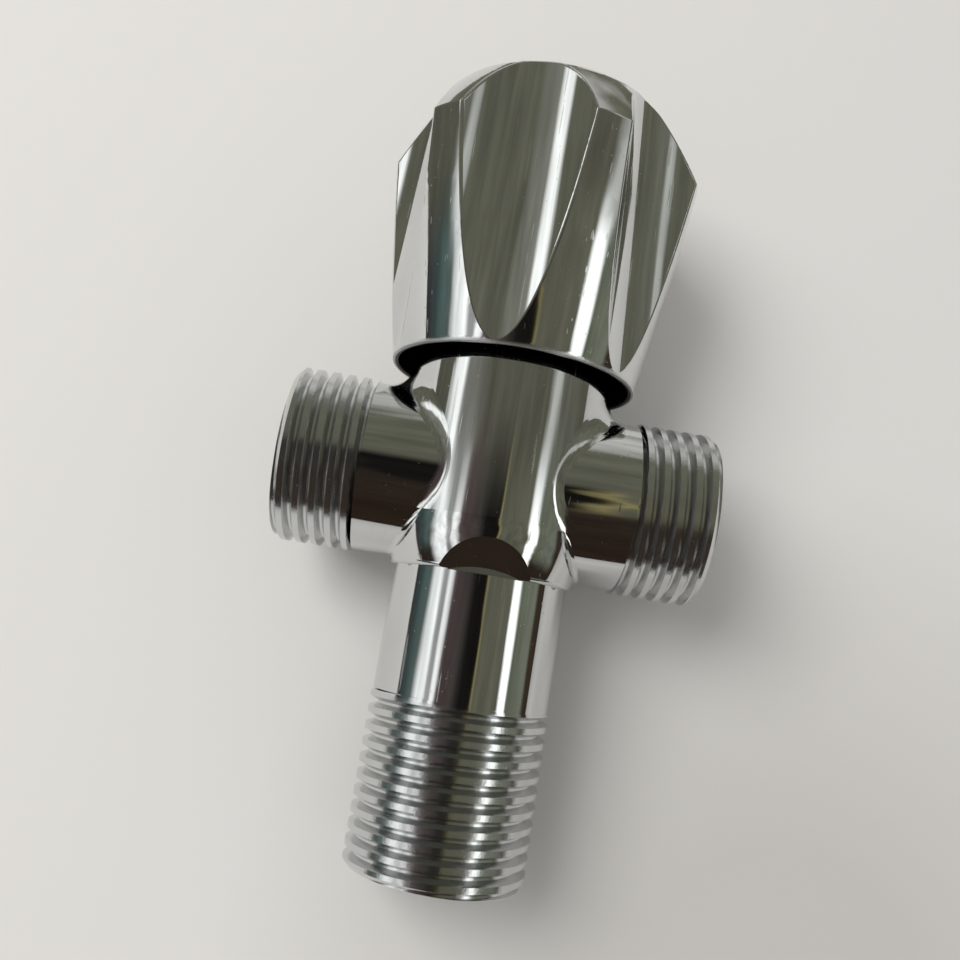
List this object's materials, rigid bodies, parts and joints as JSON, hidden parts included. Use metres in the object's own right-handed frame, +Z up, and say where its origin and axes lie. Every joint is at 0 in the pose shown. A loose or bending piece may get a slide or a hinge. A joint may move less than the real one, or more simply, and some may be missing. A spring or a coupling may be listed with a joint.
{
  "type": "three way valve",
  "caption": "Chromed three way angle valve: threaded inlet, two opposite threaded outlets and a fluted quarter turn handle over a ceramic disc cartridge.",
  "frame": {"origin": "middle of the inlet's end face, on the spindle axis", "axes": "-Y up the spindle towards the handle, which faces the user once the inlet is screwed into a wall; X through the two outlets; +Z up"},
  "size_m": [0.0494, 0.0954, 0.037],
  "materials": {
    "plated_body": "polished chrome plate on brass, mirror bright with fine scratches",
    "plated_handle": "polished chrome plate, mirror bright with fine scratches",
    "turned_brass": "bright turned brass",
    "black_rubber": "moulded rubber, slightly greased",
    "alumina": "lapped white ceramic, opaque",
    "slip_plastic": "white low friction plastic",
    "spring_steel": "bright spring steel",
    "screw_steel": "zinc plated steel"
  },
  "bodies": {
    "valve": {"valve_body": "plated_body", "cartridge_housing": "turned_brass", "housing_oring": "black_rubber", "seat_seal": "black_rubber", "fixed_disc": "alumina"},
    "handle": {"handle_shell": "plated_handle", "spline_bush": "slip_plastic", "handle_screw": "screw_steel", "lock_washer": "spring_steel", "index_cap": "plated_handle", "spindle": "turned_brass", "spindle_oring_lower": "black_rubber", "spindle_oring_upper": "black_rubber", "thrust_washer": "slip_plastic", "retaining_clip": "spring_steel", "moving_disc": "alumina"}
  },
  "joints": [
    {"name": "handle_turn", "type": "hinge", "parent": "valve", "child": "handle", "pos_m": [0, -0.07, 0], "axis": [0, -1, 0], "range_deg": [0, 90]}
  ]
}
